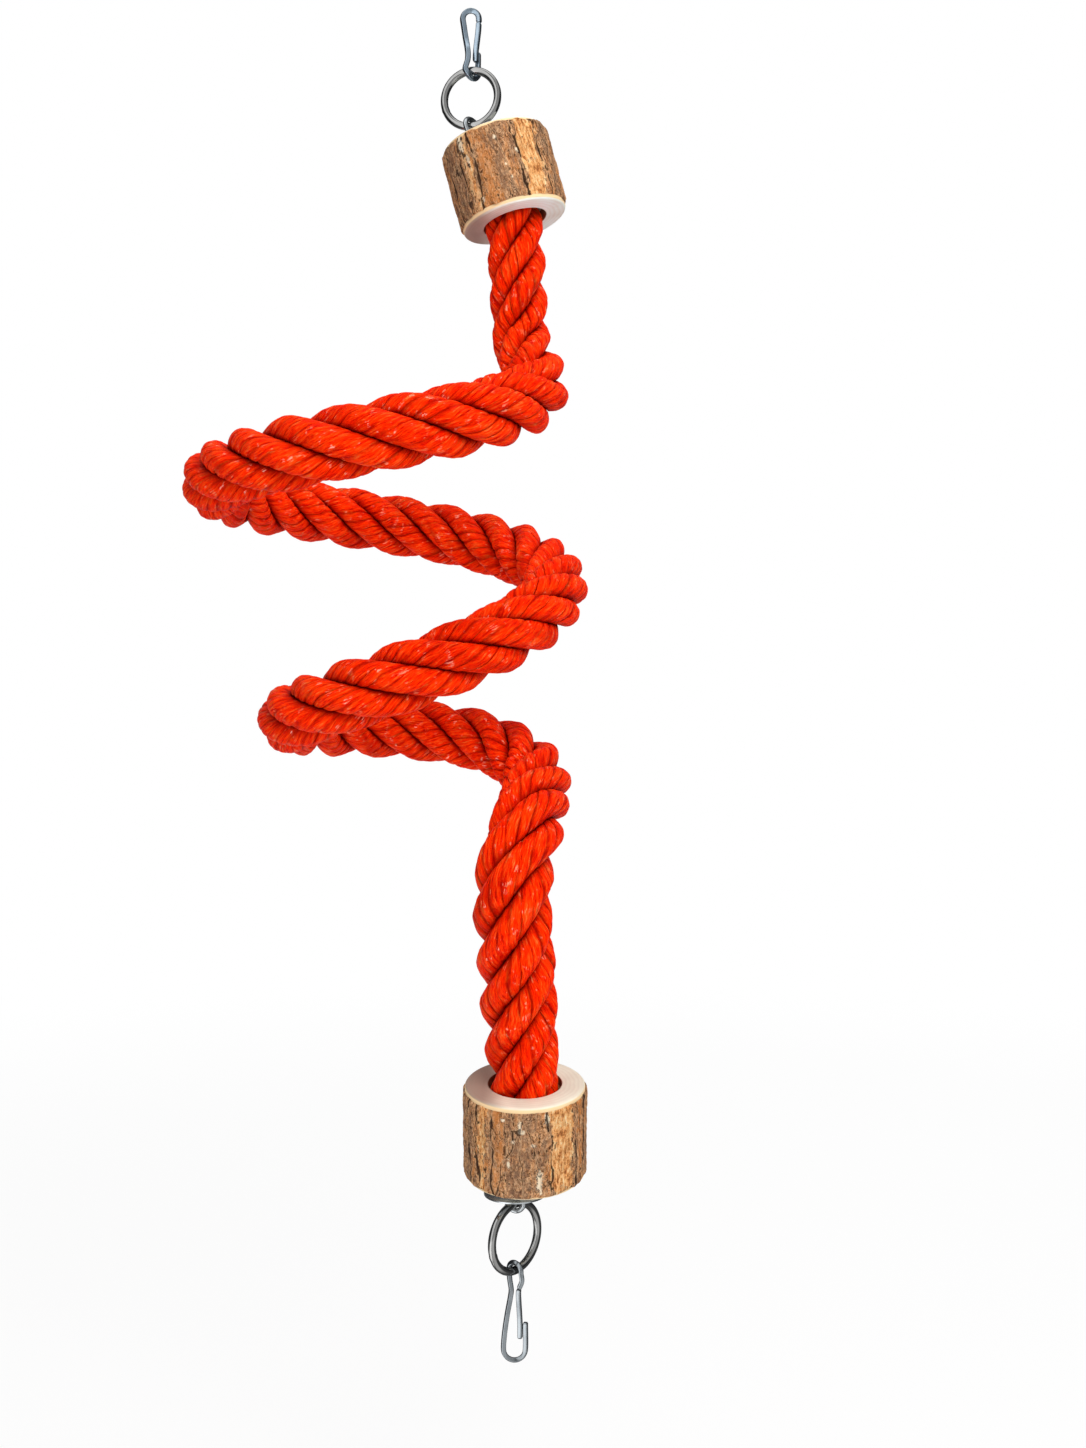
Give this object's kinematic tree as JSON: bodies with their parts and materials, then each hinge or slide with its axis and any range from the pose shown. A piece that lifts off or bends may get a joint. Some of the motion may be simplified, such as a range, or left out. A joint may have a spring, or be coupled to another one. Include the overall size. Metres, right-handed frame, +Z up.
{
  "type": "hanging spiral rope perch",
  "caption": "Thick rope perch for birds, wound as a hanging spiral between two bark-covered log blocks, with a ring and a snap hook at each end.",
  "frame": {"origin": "inside of the upper hook's crown, the point that rests on what the perch hangs from", "axes": "+Z up along the plumb line, +X to the viewer's right, +Y away from the viewer"},
  "size_m": [0.3649, 0.3371, 1.2346],
  "materials": {
    "zinc": "blueish zinc plate, satin",
    "steel": "plain satin",
    "nickel": "polished nickel plate",
    "wood": "raw sawn end grain",
    "bark": "raw furrowed bark",
    "rope": "silky laid fibre",
    "glue": "set clear amber",
    "tape": "plain cloth"
  },
  "bodies": {
    "upper_hook": {"upper_hook": "zinc"},
    "upper_gate": {"upper_gate": "zinc"},
    "upper_ring": {"upper_ring": "nickel"},
    "perch": {"rope": "rope", "core_wire": "steel", "upper_block": "wood", "upper_bark": "bark", "upper_glue_bed": "glue", "upper_end_tape": "tape", "upper_sleeve": "steel", "lower_block": "wood", "lower_bark": "bark", "lower_glue_bed": "glue", "lower_end_tape": "tape", "lower_sleeve": "steel"},
    "upper_washer": {"upper_washer": "steel"},
    "lower_washer": {"lower_washer": "steel"},
    "lower_ring": {"lower_ring": "nickel"},
    "lower_hook": {"lower_hook": "steel"},
    "lower_gate": {"lower_gate": "steel"}
  },
  "joints": [
    {"name": "upper_gate_spring", "type": "hinge", "parent": "upper_hook", "child": "upper_gate", "pos_m": [0.00725, 0, -0.0083], "axis": [0, 1, 0], "range_deg": [0, 6], "stiffness_Nm_per_rad": 1.2, "springref_deg": -2.86},
    {"name": "upper_ring_swing", "type": "hinge", "parent": "upper_hook", "child": "upper_ring", "pos_m": [0, 0, -0.05245], "axis": [0.9703, -0.2419, 0], "range_deg": [-60, 60]},
    {"name": "perch_swing", "type": "hinge", "parent": "upper_ring", "child": "perch", "pos_m": [0, 0, -0.097], "axis": [0.6665, 0.7455, 0], "range_deg": [-18, 18]},
    {"name": "upper_washer_lift", "type": "slide", "parent": "perch", "child": "upper_washer", "axis": [-0.2588, 0.0087, 0.9659], "range_m": [0, 0.007]},
    {"name": "lower_washer_lift", "type": "slide", "parent": "perch", "child": "lower_washer", "axis": [0, 0, 1], "range_m": [0, 0.013]},
    {"name": "lower_ring_swing", "type": "hinge", "parent": "perch", "child": "lower_ring", "pos_m": [0.04039, -0.00143, -1.09156], "axis": [0.8988, -0.4384, 0], "range_deg": [-35, 35]},
    {"name": "lower_hook_swing", "type": "hinge", "parent": "lower_ring", "child": "lower_hook", "pos_m": [0.04039, -0.00143, -1.14571], "axis": [0.6691, 0.7431, 0], "range_deg": [-60, 60]},
    {"name": "lower_gate_spring", "type": "hinge", "parent": "lower_hook", "child": "lower_gate", "pos_m": [0.04389, -0.00373, -1.16181], "axis": [0, 1, 0], "range_deg": [0, 9], "stiffness_Nm_per_rad": 1.2, "springref_deg": -2.86}
  ]
}
